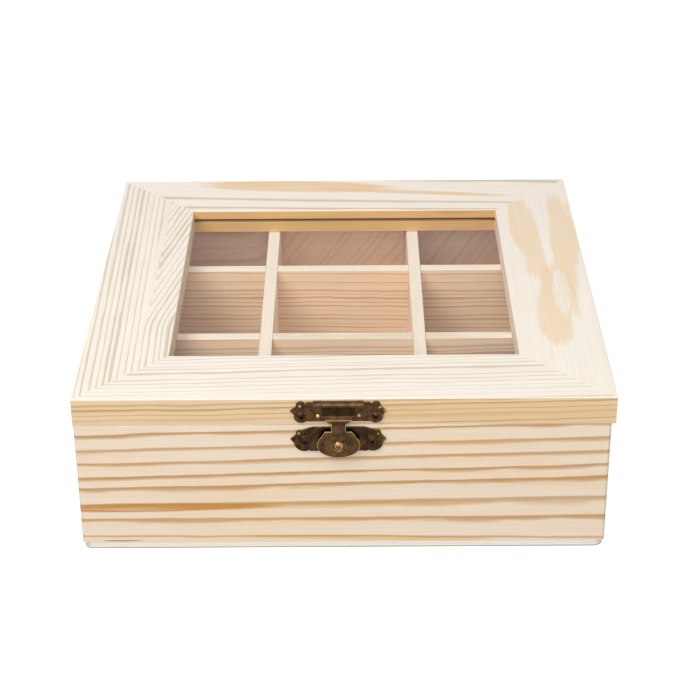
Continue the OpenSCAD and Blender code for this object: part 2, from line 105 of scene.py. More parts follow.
# The clasp in mm: its middle, its screws and stud across and up, its pressed beads across
# and up with the share of their painted highlight, and how far round each of them a mark reaches
CLASP_MIDDLE = -1.7
METAL_PLACES = {"clasp_lid_plate": ((-18.1, 70.0), (14.7, 70.0)),
                "clasp_box_plate": ((-16.5, 57.2), (13.1, 57.2)),
                "clasp_hasp": ((CLASP_MIDDLE, 56.4),), "clasp_stud": ((CLASP_MIDDLE, 56.4),)}
LID_BEADS = ((-10.7, 70.4, 1.0), (7.3, 70.4, 0.45))
BEAD_RADIUS = 1.2
SEAT_REACH = 3.3
STUD_DIMPLE = 0.8
STUD_RIM = 1.2
PLATE_REACH = 13.0

# Levels on the clasp from the shield up, and what lies in front of its beads and barrel, which
# bound where its arrises are rubbed and its painted highlights and shade
SHIELD_TOP = 68.0
NECK_TOP = 69.2
STRAP_FOOT = 70.6
BEND_TOP = 71.0
BARREL_FOOT = 74.9
STRAP_TOP = 75.0
BEAD_FRONT = -120.9
BARREL_FRONT = -121.3

# Fasteners, in metres and radians: how each is turned, how finely it is made, the share of
# a screw's core, and how far in and up its recess, painted dark as shade, begins
FASTENER_SPIN = 2.1
SHANK_SIDES = 20
HEAD_STEPS = 32
COIL_STEPS = 16
RIDGE_SIDES = 3
BRAD_HEAD_SIDES = 24
TIP_RADIUS = 0.08 * MM
CORE_SHARE = 0.75
RECESS_INSET = 0.05 * MM
RECESS_FOOT = 0.1 * MM
SCREW_SIZES = {"Head Radius": 2.1 * MM, "Head Height": 0.9 * MM, "Shank Radius": 0.9 * MM,
               "Length": 8.0 * MM, "Point": 2.2 * MM, "Thread Pitch": 0.9 * MM,
               "Recess Length": 2.4 * MM, "Recess Width": 0.55 * MM, "Recess Depth": 0.6 * MM}
BRAD_SIZES = {"Head Radius": 1.2 * MM, "Head Height": 0.6 * MM, "Shank Radius": 0.6 * MM,
              "Length": 14.4 * MM, "Point": 2.0 * MM}


# ------------------------ node helpers

def srgb(red, green, blue):
    """A colour as it is seen, from 0 to 255, as the linear colour that a shader takes."""
    def linear(value):
        value /= 255
        return value / 12.92 if value <= 0.04045 else ((value + 0.055) / 1.055) ** 2.4
    return (linear(red), linear(green), linear(blue), 1.0)


def feed(socket, value):
    """Joins a socket to another node's output, or sets it to a plain value."""
    if isinstance(value, bpy.types.NodeSocket):
        socket.id_data.links.new(value, socket)
    else:
        socket.default_value = value


def add(tree, kind, inputs=None, **settings):
    node = tree.nodes.new(kind)
    for name, value in settings.items():
        setattr(node, name, value)
    for name, value in (inputs or {}).items():
        feed(node.inputs[name], value)
    return node


def tree_of(*values):
    """The node tree of the sockets among values."""
    return next(v.id_data for v in values if isinstance(v, bpy.types.NodeSocket))


def calc(operation, *values):
    node = add(tree_of(*values), "ShaderNodeMath", operation=operation)
    for socket, value in zip(node.inputs, values):
        feed(socket, value)
    return node.outputs[0]


def plus(first, second):
    return calc("ADD", first, second)


def minus(first, second):
    return calc("SUBTRACT", first, second)


def times(first, second):
    return calc("MULTIPLY", first, second)


def divided(first, second):
    return calc("DIVIDE", first, second)


def vector_calc(operation, first, second):
    node = add(first.id_data, "ShaderNodeVectorMath", operation=operation)
    feed(node.inputs[0], first)
    feed(node.inputs[1], second)
    return node.outputs["Value" if operation == "DISTANCE" else "Vector"]


def split(place):
    return add(place.id_data, "ShaderNodeSeparateXYZ", {"Vector": place}).outputs


def ramp(value, low, high, out_low=0.0, out_high=1.0):
    """A smooth step of value from low to high, given as out_low to out_high."""
    node = add(value.id_data, "ShaderNodeMapRange", interpolation_type="SMOOTHSTEP")
    for name, number in zip(("Value", "From Min", "From Max", "To Min", "To Max"),
                            (value, low, high, out_low, out_high)):
        feed(node.inputs[name], number)
    return node.outputs[0]


def blend(share, first, second, mode="MIX"):
    """A colour mix: first where share is 0, second where it is 1."""
    node = add(tree_of(share, first, second), "ShaderNodeMix", data_type="RGBA",
               blend_type=mode)
    feed(node.inputs[0], share)
    feed(node.inputs[6], first)
    feed(node.inputs[7], second)
    return node.outputs[2]


def noise(place, stretch, seed, detail=2.0, roughness=0.5):
    """Noise whose grains are stretch long each way, in the units of place."""
    values = {"Vector": vector_calc("DIVIDE", place, stretch), "W": seed, "Scale": 1.0,
              "Detail": detail, "Roughness": roughness}
    return add(place.id_data, "ShaderNodeTexNoise", values, noise_dimensions="4D").outputs[0]


def attribute(tree, name):
    return add(tree, "ShaderNodeAttribute", attribute_name=name).outputs["Fac"]


def new_group(name, inputs, outputs):
    """A shader node group with named sockets. inputs gives each one's plain value."""
    tree = bpy.data.node_groups.new(name, "ShaderNodeTree")
    kinds = {float: "NodeSocketFloat", tuple: "NodeSocketVector"}
    for label, value in inputs.items():
        socket = tree.interface.new_socket(label, in_out="INPUT", socket_type=kinds[type(value)])
        socket.default_value = value
    for label in outputs:
        tree.interface.new_socket(label, in_out="OUTPUT", socket_type="NodeSocketFloat")
    return tree, tree.nodes.new("NodeGroupInput").outputs, tree.nodes.new("NodeGroupOutput").inputs


def use(tree, group, **values):
    """Places a group and feeds its inputs. An underscore in a name stands for a space."""
    node = add(tree, "ShaderNodeGroup", node_tree=group)
    for name, value in values.items():
        feed(node.inputs[name.replace("_", " ")], value)
    return node.outputs


def new_material(name):
    material = bpy.data.materials.new(name)
    material.use_nodes = True
    tree = material.node_tree
    return material, tree, tree.nodes["Principled BSDF"].inputs


def bump(height, distance):
    values = {"Height": height, "Distance": distance}
    return add(height.id_data, "ShaderNodeBump", values).outputs[0]


# ------------------------ shared effects

def make_growth_group():
    """Height across the growth rings, in mm: the distance from the log's pith, bent by
    the way the tree grew. Place has X along the grain."""
    tree, given, result = new_group(
        "growth_height",
        {"Place": (0.0, 0.0, 0.0), "Pith Across": 0.0, "Pith Up": 0.0, "Datum": 0.0,
         "Rise": 0.0, "Fan": 0.0, "Fan Level": 0.0, "Fan Limit": 1.0, "Wave": 0.0, "Seed": 0.0},
        ["Height"])
    axes = split(given["Place"])
    across = minus(axes["Y"], given["Pith Across"])
    up = minus(axes["Z"], given["Pith Up"])
    squares = plus(times(across, across), times(up, up))
    height = minus(calc("SQRT", squares), given["Datum"])
    spread = times(given["Fan"], minus(height, given["Fan Level"]))
    spread = calc("MINIMUM", spread, given["Fan Limit"])
    slope = times(axes["X"], plus(given["Rise"], spread))
    height = minus(height, slope)
    for stretch, share in (((85.0, 34.0, 34.0), 1.7), ((26.0, 9.0, 9.0), 0.75),
                           ((8.0, 3.0, 3.0), 0.28)):
        drift = minus(noise(given["Place"], stretch, given["Seed"]), 0.5)
        drift = times(drift, times(given["Wave"], share))
        height = plus(height, drift)
    feed(result["Height"], height)
    return tree


def make_ring_group():
    """The dark late wood of each ring: it deepens slowly and ends at a sharp line."""
    tree, given, result = new_group(
        "late_wood", {"Rings": 0.0, "Line Width": 0.2, "Evenness": 0.5, "Seed": 0.0},
        ["Late Wood", "Warm Side"])
    number = calc("FLOOR", plus(given["Rings"], 0.5))
    past = minus(given["Rings"], number)
    luck = add(tree, "ShaderNodeTexWhiteNoise", {"W": plus(number, given["Seed"])},
               noise_dimensions="1D")
    width = times(given["Line Width"], plus(0.55, luck.outputs["Value"]))
    start = times(width, -1.0)
    full = times(width, -0.2)
    sharp = ramp(past, 0.0, 0.08, 1.0, 0.0)
    line = times(ramp(past, start, full), sharp)
    other_seed = plus(given["Seed"], 7.3)
    other = add(tree, "ShaderNodeTexWhiteNoise", {"W": plus(number, other_seed)},
                noise_dimensions="1D")
    uneven = times(other.outputs["Value"], minus(1.0, given["Evenness"]))
    depth = plus(given["Evenness"], uneven)
    feed(result["Late Wood"], times(line, depth))
    feed(result["Warm Side"], times(ramp(past, -0.42, -0.08), times(sharp, depth)))
    return tree


def make_figure_group():
    """What lies between the ring lines: fine streaks, broad blushes and short resin ducts."""
    tree, given, result = new_group(
        "board_figure", {"Place": (0.0, 0.0, 0.0), "Seed": 0.0},
        ["Streaks", "Blush", "Ducts", "Fuzz"])
    place, seed = given["Place"], given["Seed"]
    feed(result["Streaks"], noise(place, (38.0, 1.1, 1.1), seed, 3.0, 0.6))
    feed(result["Blush"], noise(place, (120.0, 7.0, 7.0), seed))
    feed(result["Fuzz"], noise(place, (3.0, 0.35, 0.35), seed, 2.0, 0.6))
    spots = noise(place, (6.0, 0.5, 0.5), seed, 0.0)
    feed(result["Ducts"], ramp(spots, 0.72, 0.8))
    return tree


def make_patch_group():
    """Where a ring lies almost in the surface, the plane leaves a broad flame of it."""
    tree, given, result = new_group(
        "skimmed_ring",
        {"Place": (0.0, 0.0, 0.0), "Centre": (0.0, 0.0, 0.0), "Half Length": 50.0,
         "Half Width": 5.0, "Lean Across": 0.0, "Lean Up": 0.0, "Raggedness": 0.3,
         "Seed": 0.0}, ["Patch"])
    axes = split(vector_calc("SUBTRACT", given["Place"], given["Centre"]))
    along = divided(axes["X"], given["Half Length"])
    reach = times(along, along)
    for axis, lean in (("Y", "Lean Across"), ("Z", "Lean Up")):
        leaned = minus(axes[axis], times(axes["X"], given[lean]))
        offset = divided(leaned, given["Half Width"])
        reach = plus(reach, times(offset, offset))
    ragged = minus(noise(given["Place"], (30.0, 1.6, 1.6), given["Seed"], 3.0), 0.5)
    broad = minus(noise(given["Place"], (45.0, 9.0, 9.0), given["Seed"]), 0.5)
    shift = plus(times(ragged, 2.5), times(broad, 4.0))
    reach = plus(reach, times(given["Raggedness"], shift))
    feed(result["Patch"], ramp(reach, 0.5, 1.0, 1.0, 0.0))
    return tree


def make_wear_group():
    """Rubbed arrises: the rounded edges that the mesh marks, broken up by noise."""
    tree, given, result = new_group(
        "rubbed_edges", {"Place": (0.0, 0.0, 0.0), "Amount": 0.5, "Grain Size": 1.0,
                         "Seed": 0.0}, ["Rubbed"])
    scaled = vector_calc("DIVIDE", given["Place"], given["Grain Size"])
    patchy = noise(scaled, (1.0, 1.0, 1.0), given["Seed"], 3.0, 0.6)
    edge = attribute(tree, "arris")
    held = minus(1.0, given["Amount"])
    rubbed = ramp(patchy, minus(held, 0.12), plus(held, 0.12))
    feed(result["Rubbed"], times(edge, rubbed))
    return tree


GROWTH = make_growth_group()
RINGS = make_ring_group()
FIGURE = make_figure_group()
PATCH = make_patch_group()
WEAR = make_wear_group()


# ------------------------ wood

@dataclass
class Patch:
    """A skimmed ring on a board, in mm along the grain, across it and up."""
    centre: tuple
    half_length: float
    half_width: float
    lean_across: float = 0.0
    lean_up: float = 0.0
    raggedness: float = 0.3
    depth: float = 0.9
    colour: tuple = ()


@dataclass
class Board:
    """How one board was sawn. Lengths are in mm, and the grain runs along X or Y.
    A swerve is how steeply the grain leans, from where along and up to where across."""
    node: str
    body: str
    kind: str
    grain: str
    pith: tuple
    ring_gap: float
    seed: float
    wave: float = 0.7
    datum: float = 0.0
    rise: float = 0.0
    fan: float = 0.0
    fan_level: float = 0.0
    fan_limit: float = 1.0
    swerve: tuple = ()
    drift: float = 1.0
    line_width: float = 0.25
    line_depth: float = 0.9
    evenness: float = 0.5
    ring_heights: tuple = ()
    patches: tuple = ()
    arris: float = 0.5
    side: tuple = ()
    # a board's own colour for faces that look into the box: painted light and shade
    inner: tuple = ()
    inner_lines: float = 1.0
    # how strongly the painted shadow of the pane's gap shows
    pane_shade: float = 0.0


@dataclass
class Finish:
    """The colours of one kind of board: its sides; its top, paler as painted light from above; the
    side that looks into the box, whose colour is painted light and shade; late wood, paler on the
    top as painted light; and flames. Warmth multiplies the broad blushes."""
    slot: str
    side: tuple
    top: tuple
    inner: tuple
    line: tuple
    top_line: tuple
    flame: tuple
    warmth: tuple


# Each finish's top colour is painted light from above, and its inward colour is painted light and
# shade on faces that look into the box
FINISHES = {
    "wall": Finish("wall_pine", srgb(244, 225, 203), srgb(250, 238, 222), srgb(252, 212, 182),
                   srgb(190, 136, 64), srgb(212, 182, 144), srgb(204, 140, 56),
                   (1.0, 0.935, 0.82, 1.0)),
    "lid": Finish("lid_pine", srgb(237, 209, 171), srgb(253, 244, 232), srgb(226, 184, 128),
                  srgb(192, 150, 100), srgb(210, 192, 164), srgb(246, 220, 184),
                  (1.0, 0.95, 0.87, 1.0)),
    "divider": Finish("divider_pine", srgb(244, 212, 178), srgb(255, 239, 218),
                      srgb(240, 208, 172), srgb(198, 150, 106), srgb(236, 212, 184),
                      srgb(214, 168, 116), (1.0, 0.94, 0.88, 1.0)),
}
PALE_STREAK = srgb(253, 244, 234)
LENS_TAN = srgb(242, 203, 158)
AMBER = srgb(232, 190, 128)
DARK_CRACK = srgb(120, 96, 60)
# Paler sides for the long dividers: painted light
LIT_SIDE = srgb(255, 234, 212)
# The colour of the painted shadow in the pane's gap
PANE_GAP_SHADE = srgb(108, 62, 18)
PLY_SEED = 71.0
PLY_FACE = srgb(255, 249, 241)
PLY_CORE = srgb(246, 236, 220)
PLY_BLUSH = srgb(248, 238, 222)
PLY_DUCT = srgb(200, 180, 150)
PLY_CONTACT_SHADE = srgb(112, 100, 90)

BOARDS = [
    Board("front_panel", "box", "wall", "x", (-120.0, -300.0), 7.5, 3.0, wave=1.3, datum=300.0,
          fan=0.0011, fan_level=14.0, fan_limit=0.026, line_width=0.27, line_depth=0.86,
          evenness=0.75,
          ring_heights=(0.0, 6.3, 16.4, 25.2, 35.0, 41.2, 48.4, 55.5, 63.1, 70.5),
          patches=(Patch((-10.0, -120.0, 23.2), 92.0, 1.9, lean_up=0.014, raggedness=0.16,
                         depth=0.7, colour=AMBER),
                   Patch((-84.0, -120.0, 22.3), 66.0, 2.5, lean_up=0.014, raggedness=0.14,
                         depth=0.95),
                   Patch((14.0, -120.0, 5.4), 62.0, 1.5, lean_up=-0.02, raggedness=0.2,
                         depth=0.75, colour=AMBER),
                   Patch((-101.0, -120.0, 4.4), 11.0, 0.5, raggedness=0.3, colour=DARK_CRACK))),
    Board("back_panel", "box", "wall", "x", (150.0, -90.0), 8.5, 11.0, wave=3.2,
          swerve=(-1.4, -44.0, 109.6), line_width=0.42, evenness=0.2, inner_lines=0.56),
    Board("left_side_panel", "box", "wall", "y", (160.0, -60.0), 6.0, 17.0, rise=-0.02),
    Board("right_side_panel", "box", "wall", "y", (-170.0, -80.0), 5.5, 23.0, rise=0.02),
    # The long dividers' sides and inward faces are painted paler: painted light
    Board("long_divider_left", "box", "divider", "y", (45.0, -120.0), 2.6, 31.0, arris=0.35,
          side=LIT_SIDE, inner=LIT_SIDE),
    Board("long_divider_right", "box", "divider", "y", (-30.0, -110.0), 2.7, 37.0, arris=0.35,
          side=LIT_SIDE, inner=LIT_SIDE),
    # Its sides are painted paler than the other cross divider's: painted light on the front row
    Board("cross_divider_front", "box", "divider", "x", (-20.0, -140.0), 2.3, 41.0,
          wave=2.0, rise=0.01, line_width=0.36, line_depth=0.75, evenness=0.1, arris=0.35,
          side=srgb(253, 224, 190)),
    Board("cross_divider_back", "box", "divider", "x", (60.0, -150.0), 2.4, 43.0,
          wave=2.0, rise=-0.01, line_width=0.36, line_depth=0.95, evenness=0.2, arris=0.35),
    Board("lid_front_rail", "lid", "lid", "x", (-190.0, -20.0), 2.2, 53.0, wave=1.4,
          rise=0.025, fan=0.0004, fan_level=140.0, drift=0.6, line_width=0.36, evenness=0.25,
          patches=(Patch((66.0, -122.0, 71.5), 84.0, 6.6, raggedness=0.25, depth=0.42,
                         colour=AMBER),)),
    Board("lid_back_rail", "lid", "lid", "x", (-200.0, 30.0), 9.0, 59.0, wave=0.5, datum=204.0,
          rise=-0.035, fan=-0.0018, fan_level=88.0, line_width=0.26, evenness=0.9, pane_shade=1.0,
          ring_heights=(0.0, 66.0, 76.0, 83.3, 92.6, 127.0),
          patches=(Patch((-25.0, 112.0, 78.6), 60.0, 8.5, lean_across=-0.05, raggedness=0.12,
                         colour=LENS_TAN),
                   Patch((40.0, 103.4, 78.6), 60.0, 2.6, lean_across=-0.1, raggedness=0.15,
                         colour=LENS_TAN),
                   Patch((60.0, 118.9, 78.6), 50.0, 0.7, raggedness=0.2, colour=LENS_TAN))),
    # The side rails' inward faces are painted paler than the lid's other inward faces: painted
    # light
    Board("lid_left_rail", "lid", "lid", "y", (240.0, 60.0), 2.9, 61.0, wave=0.5, rise=-0.02,
          swerve=(-0.24, -48.0, 93.5), drift=0.3, line_width=0.36, evenness=0.75,
          inner=srgb(255, 238, 216), inner_lines=0.4),
    Board("lid_right_rail", "lid", "lid", "y", (-101.0, -160.0), 8.0, 67.0, wave=0.8,
          line_width=0.12, line_depth=0.15, inner=srgb(255, 240, 222), pane_shade=0.25,
          patches=(Patch((46.0, -95.5, 78.6), 62.0, 7.6, lean_across=0.05, raggedness=0.55),
                   Patch((42.0, -112.5, 78.6), 70.0, 7.6, lean_across=-0.04, raggedness=0.55),
                   Patch((-28.0, -103.5, 78.6), 58.0, 10.4, lean_across=-0.08,
                         raggedness=0.55),
                   Patch((-18.0, -106.5, 78.6), 30.0, 4.0, raggedness=0.7, depth=0.8,
                         colour=PALE_STREAK),
                   Patch((58.0, -103.2, 78.6), 44.0, 2.4, raggedness=0.6, depth=0.8,
                         colour=PALE_STREAK))),
]


def grain_place(tree, grain):
    """Object coordinates in mm, turned so that X runs along the grain."""
    place = add(tree, "ShaderNodeMapping",
                {"Vector": add(tree, "ShaderNodeTexCoord").outputs["Object"],
                 "Scale": (1 / MM, 1 / MM, 1 / MM)})
    if grain == "y":
        place.inputs["Rotation"].default_value = (0.0, 0.0, -math.pi / 2)
    return place.outputs[0]


def ring_count(tree, height, board):
    """Rings counted up from the board's foot, from the ring gap or from known heights."""
    if not board.ring_heights:
        count = divided(height, board.ring_gap)
        slow = add(tree, "ShaderNodeTexNoise",
                   {"W": plus(count, board.seed), "Scale": 0.7, "Detail": 0.0},
                   noise_dimensions="1D")
        return plus(count, times(slow.outputs[0], board.drift))
    top = board.ring_heights[-1]
    last = len(board.ring_heights) - 1
    curve = add(tree, "ShaderNodeFloatCurve", {"Value": divided(height, top)})
    points = curve.mapping.curves[0].points
    for number, level in enumerate(board.ring_heights[1:-1], 1):
        points.new(level / top, number / last)
    points[0].location = (board.ring_heights[0] / top, 0.0)
    points[-1].location = (1.0, 1.0)
    for point in points:
        point.handle_type = "VECTOR"
    curve.mapping.update()
    return times(curve.outputs[0], float(last))


def swerved(place, board, height):
    """Leans the grain over one part of a board, and fades the lines where it turns back."""
    lean, start, edge = board.swerve
    axes = split(place)
    share = ramp(axes["Y"], edge - 2.2, edge + 1.6, 1.0, 0.0)
    along = calc("SMOOTH_MAX", minus(axes["X"], start), 0.0, 12.0)
    leaned = times(times(along, lean), share)
    turning = times(share, minus(1.0, share))
    turning = times(turning, ramp(along, 4.0, 30.0, 0.0, 3.6))
    return plus(height, leaned), minus(1.0, turning)


def pane_gap_shade(place):
    """A painted shadow: the dark line of shade in the gap between the pane's edge and the sides of
    its opening.
    """
    axes = split(place)
    above = minus(axes["Z"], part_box("window_pane")[1].z / MM)
    return times(ramp(above, -0.1, 0.1), ramp(above, 0.9, 1.5, 1.0, 0.0))


def pine(board):
    """Unfinished pine for one board."""
    finish = FINISHES[board.kind]
    material, tree, shader = new_material("pine_" + board.node)
    place = grain_place(tree, board.grain)
    top_light = attribute(tree, "top_light")
    inner = attribute(tree, "inner")
    end = attribute(tree, "end_grain")
    height = use(tree, GROWTH, Place=place, Pith_Across=board.pith[0], Pith_Up=board.pith[1],
                 Datum=board.datum, Rise=board.rise, Fan=board.fan, Fan_Level=board.fan_level,
                 Fan_Limit=board.fan_limit, Wave=board.wave, Seed=board.seed)["Height"]
    kept = 1.0
    if board.swerve:
        height, kept = swerved(place, board, height)
    swell = ramp(noise(place, (40.0, 6.0, 6.0), board.seed + 3.0), 0.35, 0.65,
                 0.65 * board.line_width, 1.4 * board.line_width)
    rings = use(tree, RINGS, Rings=ring_count(tree, height, board), Line_Width=swell,
                Evenness=board.evenness, Seed=board.seed)
    late = times(rings["Late Wood"], kept)
    figure = use(tree, FIGURE, Place=place, Seed=board.seed)

    # Painted light: the top is paler, as if lit from above, and faces that look into the box or are
    # sunk take a colour of their own for the light and shade they get there
    colour = blend(top_light, board.side or finish.side, finish.top)
    colour = blend(inner, colour, board.inner or finish.inner)
    # Blushes and warm sides fade on the top as part of its painted light
    blush = times(ramp(figure["Blush"], 0.42, 0.66), ramp(top_light, 0.0, 1.0, 0.75, 0.3))
    colour = blend(blush, colour, finish.warmth, "MULTIPLY")
    warm_side = times(rings["Warm Side"], ramp(top_light, 0.0, 1.0, 0.5, 0.25))
    colour = blend(warm_side, colour, finish.warmth, "MULTIPLY")
    for patch in board.patches:
        mask = use(tree, PATCH, Place=place, Centre=patch.centre, Half_Length=patch.half_length,
                   Half_Width=patch.half_width, Lean_Across=patch.lean_across,
                   Lean_Up=patch.lean_up, Raggedness=patch.raggedness,
                   Seed=board.seed)["Patch"]
        streaked = ramp(figure["Streaks"], 0.34, 0.6, 0.6, 1.0)
        mask = times(mask, times(streaked, patch.depth))
        colour = blend(mask, colour, patch.colour or finish.flame)
    # Ring lines are paler on the top as painted light, and fainter on inward faces
    line_colour = blend(top_light, finish.line, finish.top_line)
    depth = times(late, board.line_depth)
    depth = times(depth, ramp(inner, 0.0, 1.0, 1.0, board.inner_lines))
    depth = times(depth, ramp(figure["Streaks"], 0.2, 0.6, 0.75, 1.0))
    colour = blend(depth, colour, line_colour)
    # A painted shadow along the pane's edge on the inward faces
    if board.pane_shade:
        gap_shade = times(pane_gap_shade(place), inner)
        gap_shade = times(gap_shade, board.pane_shade)
        colour = blend(gap_shade, colour, PANE_GAP_SHADE)
    streaks = ramp(figure["Streaks"], 0.3, 0.7, 0.965, 1.02)
    fuzz = ramp(figure["Fuzz"], 0.3, 0.7, 0.985, 1.01)
    shade = times(streaks, fuzz)
    shade = times(shade, ramp(end, 0.5, 0.9, 1.0, 0.86))
    grey = add(tree, "ShaderNodeCombineColor")
    for socket in grey.inputs:
        feed(socket, shade)
    colour = blend(1.0, colour, grey.outputs[0], "MULTIPLY")
    rubbed = use(tree, WEAR, Place=place, Amount=0.7, Grain_Size=2.5, Seed=board.seed)["Rubbed"]
    colour = blend(times(rubbed, 0.6), colour, finish.top)
    feed(shader["Base Color"], colour)
    feed(shader["Roughness"], ramp(late, 0.0, 1.0, 0.66, 0.5))
    relief = plus(times(late, 0.2), figure["Fuzz"])
    feed(shader["Normal"], bump(relief, WOOD_RELIEF))
    shader["Specular IOR Level"].default_value = WOOD_GLOSS
    return material


def base_ply():
    """Thin pale board: fine grain on its faces and three veneers at its edge, darkened along its
    foot as a painted contact shadow.
    """
    material, tree, shader = new_material("base_ply")
    place = grain_place(tree, "x")
    axes = split(place)
    low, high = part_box("base_board")
    up = divided(axes["Z"], (high.z - low.z) / MM)
    core = times(ramp(up, 0.28, 0.33), ramp(up, 0.67, 0.72, 1.0, 0.0))
    figure = use(tree, FIGURE, Place=place, Seed=PLY_SEED)
    colour = blend(core, PLY_FACE, PLY_CORE)
    blush = times(ramp(figure["Blush"], 0.4, 0.7), 0.5)
    colour = blend(blush, colour, PLY_BLUSH)
    colour = blend(times(figure["Ducts"], 0.5), colour, PLY_DUCT)
    speck = use(tree, PATCH, Place=place, Centre=(43.0, -122.0, 1.7), Half_Length=1.5,
                Half_Width=0.5, Raggedness=0.3, Seed=PLY_SEED)["Patch"]
    colour = blend(speck, colour, DARK_CRACK)
    # Painted contact shadow along the lowest edge of the board, kept off its underside
    foot = times(ramp(axes["Z"], 0.2, 0.9, 1.0, 0.0),
                 ramp(attribute(tree, "underside"), 0.0, 1.0, 0.85, 0.0))
    colour = blend(foot, colour, PLY_CONTACT_SHADE)
    feed(shader["Base Color"], colour)
    feed(shader["Roughness"], ramp(figure["Streaks"], 0.2, 0.8, 0.6, 0.75))
    feed(shader["Normal"], bump(figure["Streaks"], PLY_RELIEF))
    shader["Specular IOR Level"].default_value = WOOD_GLOSS
    return material


# ------------------------ metal and glass

def antique(name, dark, warm, bright, seed, wear=0.6, spots=()):
    """Plated metal under a dark patina. It is rubbed through at its edges, has painted highlights
    at its spots (x, z, radius and share, in mm) and where the mesh marks them, and is painted
    black as shade in its recesses."""
    material, tree, shader = new_material(name)
    place = grain_place(tree, "x")
    cloud = noise(place, (3.2, 3.2, 3.2), seed, 4.0, 0.65)
    speck = noise(place, (0.45, 0.45, 0.45), seed, 3.0, 0.6)
    colour = blend(ramp(cloud, 0.4, 0.6), dark, warm)
    colour = blend(ramp(speck, 0.6, 0.72, 0.0, 0.2), colour, bright)
    # Painted highlights where the mesh marks them and round each spot
    colour = blend(attribute(tree, "painted_glint"), colour, bright)
    for x, z, radius, share in spots:
        flat = vector_calc("MULTIPLY", place, (1.0, 0.0, 1.0))
        away = vector_calc("DISTANCE", flat, (x, 0.0, z))
        colour = blend(ramp(away, 0.0, radius, share, 0.0), colour, bright)
    rubbed = use(tree, WEAR, Place=place, Amount=wear, Grain_Size=1.6, Seed=seed)["Rubbed"]
    colour = blend(rubbed, colour, bright)
    # Painted shade: black where the mesh marks a recess
    colour = blend(attribute(tree, "recess"), colour, SHADE_BLACK)
    feed(shader["Base Color"], colour)
    rough = ramp(cloud, 0.3, 0.7, 0.3, 0.44)
    rough = minus(rough, times(rubbed, 0.08))
    feed(shader["Roughness"], rough)
    shader["Metallic"].default_value = 1.0
    relief = plus(cloud, times(speck, 0.4))
    feed(shader["Normal"], bump(relief, METAL_RELIEF))
    return material


def clear_pane():
    """Window glass. Lamps and soft light pass through it, as its object says."""
    material, tree = new_material("clear_pane")[:2]
    tree.nodes.remove(tree.nodes["Principled BSDF"])
    through = add(tree, "ShaderNodeBsdfRefraction",
                  {"Color": PANE_TINT, "Roughness": 0.0, "IOR": PANE_IOR})
    mirror = add(tree, "ShaderNodeBsdfGlossy", {"Roughness": 0.02})
    grazing = add(tree, "ShaderNodeFresnel", {"IOR": PANE_IOR})
    both = add(tree, "ShaderNodeMixShader")
    feed(both.inputs[0], times(grazing.outputs[0], PANE_SHINE))
    feed(both.inputs[1], through.outputs[0])
    feed(both.inputs[2], mirror.outputs[0])
    feed(tree.nodes["Material Output"].inputs["Surface"], both.outputs[0])
    return material


# Black for the painted shade on the clasp and in the screws' recesses
SHADE_BLACK = srgb(22, 14, 10)
OLD_GOLD = srgb(216, 184, 120)
# The bronzes' spots are painted highlights on the plates' knobs and tips
BRONZE = antique("antique_bronze", srgb(64, 46, 35), srgb(94, 68, 41), OLD_GOLD, 5.0,
                 spots=((-18.6, 75.2, 0.9, 1.0), (16.6, 74.6, 0.9, 0.9), (19.3, 73.2, 1.7, 0.7)))
# A darker copy of the bronze for the box plate: painted shade where it sits below the lid's plate
# and behind the hasp
SHADED_BRONZE = antique("shaded_bronze", srgb(48, 34, 24), srgb(76, 55, 32), OLD_GOLD, 9.0, wear=0.5,
                      spots=((-19.3, 61.4, 0.8, 0.8), (15.8, 61.0, 0.8, 0.4),
                             (19.6, 56.6, 2.4, 0.75)))
SCREW_BRONZE = antique("screw_bronze", srgb(44, 30, 22), srgb(80, 54, 34), srgb(130, 102, 62), 11.0)
BRASS = antique("old_brass", srgb(108, 76, 38), srgb(136, 100, 54), srgb(232, 204, 156), 13.0)
STEEL = antique("bright_steel", srgb(140, 140, 138), srgb(178, 178, 176), srgb(210, 210, 208), 15.0)
GLASS = clear_pane()


# ------------------------ making pieces

def merged_copy(node):
    """A CAD node's mesh as one closed shell with its flat faces whole."""
    shell = bmesh.new()
    shell.from_mesh(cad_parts[node].data)
    bmesh.ops.remove_doubles(shell, verts=shell.verts, dist=SAME_SPOT)
    bmesh.ops.dissolve_limit(shell, angle_limit=FLAT_ANGLE, verts=shell.verts, edges=shell.edges)
    return shell


def wood_arris(box, edge):
    """An edge's share of its board's rounding: all of it on the outer arrises, a little
    where boards meet, at grooves and at screw holes, and none where the edge is tiny."""
    planes = 0
    for corner in box:
        for axis in range(3):
            planes += all(abs(v.co[axis] - corner[axis]) < NEAR_SIDE for v in edge.verts)
    mitre = any(min(abs(f.normal.x), abs(f.normal.y)) > SLANTED for f in edge.link_faces)
    if edge.calc_length() < SHORT_EDGE and planes < 2:
        return 0.0
    return JOINT_SHARE if mitre or planes < 2 else 1.0


def new_object(name, data):
    piece = bpy.data.objects.new(name, data)
    bpy.context.scene.collection.objects.link(piece)
    return piece


def bake(piece):
    """Makes a piece's modifiers part of its mesh."""
    mesh = bpy.data.meshes.new_from_object(
        piece.evaluated_get(bpy.context.evaluated_depsgraph_get()))
    piece.modifiers.clear()
    piece.data = mesh
    mesh.name = piece.name
    return mesh


